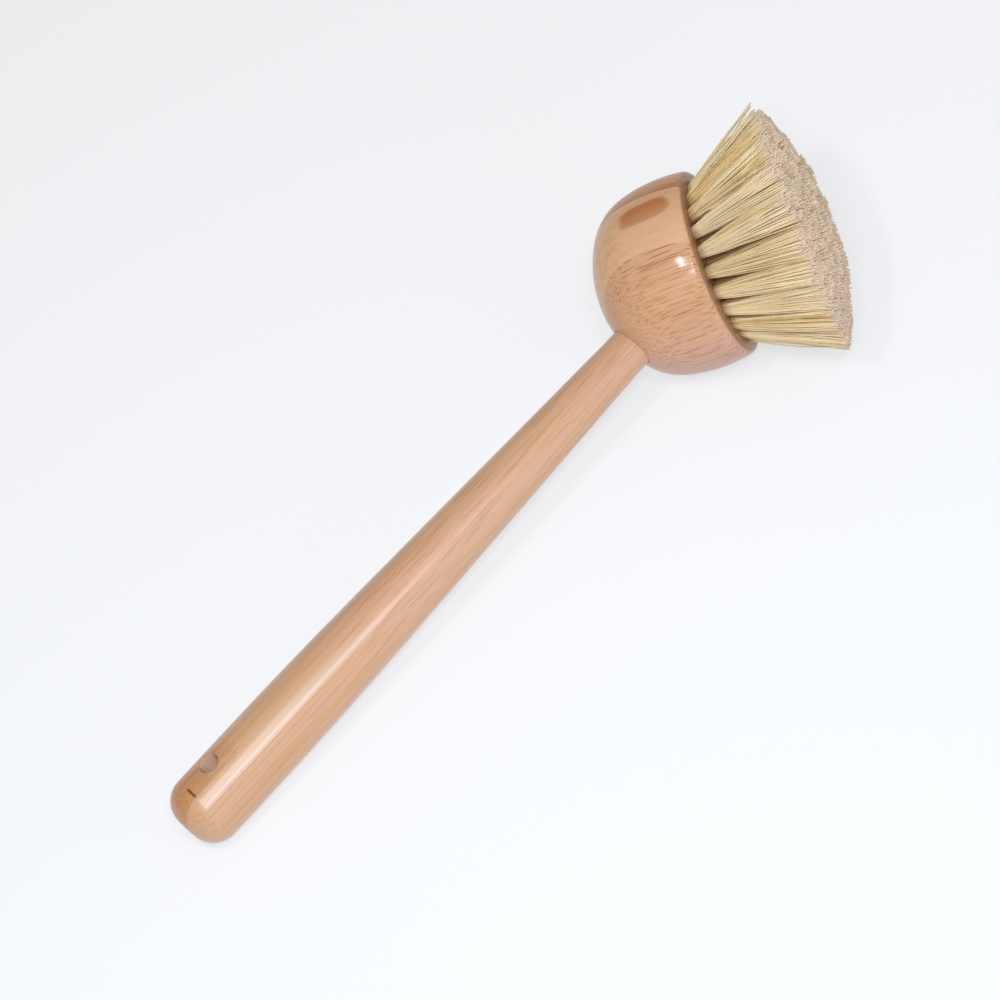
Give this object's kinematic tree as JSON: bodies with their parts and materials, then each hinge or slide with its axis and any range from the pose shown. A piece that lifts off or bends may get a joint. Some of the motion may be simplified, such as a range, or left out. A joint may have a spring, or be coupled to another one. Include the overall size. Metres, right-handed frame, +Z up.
{
  "type": "dish brush",
  "caption": "Dish brush with a ball-shaped bamboo head set at an angle on a tapering bamboo handle, a domed fan of plant-fibre tufts and a hanging hole.",
  "frame": {"origin": "on the surface that the brush lies on, under the middle of its bounding box", "axes": "+Z up with the brush lying on its side at rest, +X along the handle from the butt to the head"},
  "size_m": [0.2524, 0.0772, 0.0695],
  "materials": {
    "handle_bamboo": "lacquered carbonised bamboo",
    "head_bamboo": "lacquered carbonised bamboo",
    "bristle_fibre": "dry plant fibre",
    "anchor_wire": "drawn flat wire"
  },
  "bodies": {
    "root": {"anchors_ring1": "anchor_wire", "anchors_ring2": "anchor_wire", "anchors_ring3": "anchor_wire", "anchors_ring4": "anchor_wire", "handle": "handle_bamboo", "head": "head_bamboo", "tuft_ring1_01": "bristle_fibre", "tuft_ring1_02": "bristle_fibre", "tuft_ring1_03": "bristle_fibre", "tuft_ring1_04": "bristle_fibre", "tuft_ring1_05": "bristle_fibre", "tuft_ring1_06": "bristle_fibre", "tuft_ring1_07": "bristle_fibre", "tuft_ring1_08": "bristle_fibre", "tuft_ring1_09": "bristle_fibre", "tuft_ring1_10": "bristle_fibre", "tuft_ring1_11": "bristle_fibre", "tuft_ring1_12": "bristle_fibre", "tuft_ring1_13": "bristle_fibre", "tuft_ring1_14": "bristle_fibre", "tuft_ring1_15": "bristle_fibre", "tuft_ring1_16": "bristle_fibre", "tuft_ring1_17": "bristle_fibre", "tuft_ring1_18": "bristle_fibre", "tuft_ring1_19": "bristle_fibre", "tuft_ring1_20": "bristle_fibre", "tuft_ring1_21": "bristle_fibre", "tuft_ring1_22": "bristle_fibre", "tuft_ring1_23": "bristle_fibre", "tuft_ring2_01": "bristle_fibre", "tuft_ring2_02": "bristle_fibre", "tuft_ring2_03": "bristle_fibre", "tuft_ring2_04": "bristle_fibre", "tuft_ring2_05": "bristle_fibre", "tuft_ring2_06": "bristle_fibre", "tuft_ring2_07": "bristle_fibre", "tuft_ring2_08": "bristle_fibre", "tuft_ring2_09": "bristle_fibre", "tuft_ring2_10": "bristle_fibre", "tuft_ring2_11": "bristle_fibre", "tuft_ring2_12": "bristle_fibre", "tuft_ring2_13": "bristle_fibre", "tuft_ring2_14": "bristle_fibre", "tuft_ring2_15": "bristle_fibre", "tuft_ring2_16": "bristle_fibre", "tuft_ring3_01": "bristle_fibre", "tuft_ring3_02": "bristle_fibre", "tuft_ring3_03": "bristle_fibre", "tuft_ring3_04": "bristle_fibre", "tuft_ring3_05": "bristle_fibre", "tuft_ring3_06": "bristle_fibre", "tuft_ring3_07": "bristle_fibre", "tuft_ring3_08": "bristle_fibre", "tuft_ring3_09": "bristle_fibre", "tuft_ring3_10": "bristle_fibre", "tuft_ring4_01": "bristle_fibre", "tuft_ring4_02": "bristle_fibre", "tuft_ring4_03": "bristle_fibre"}
  },
  "joints": []
}
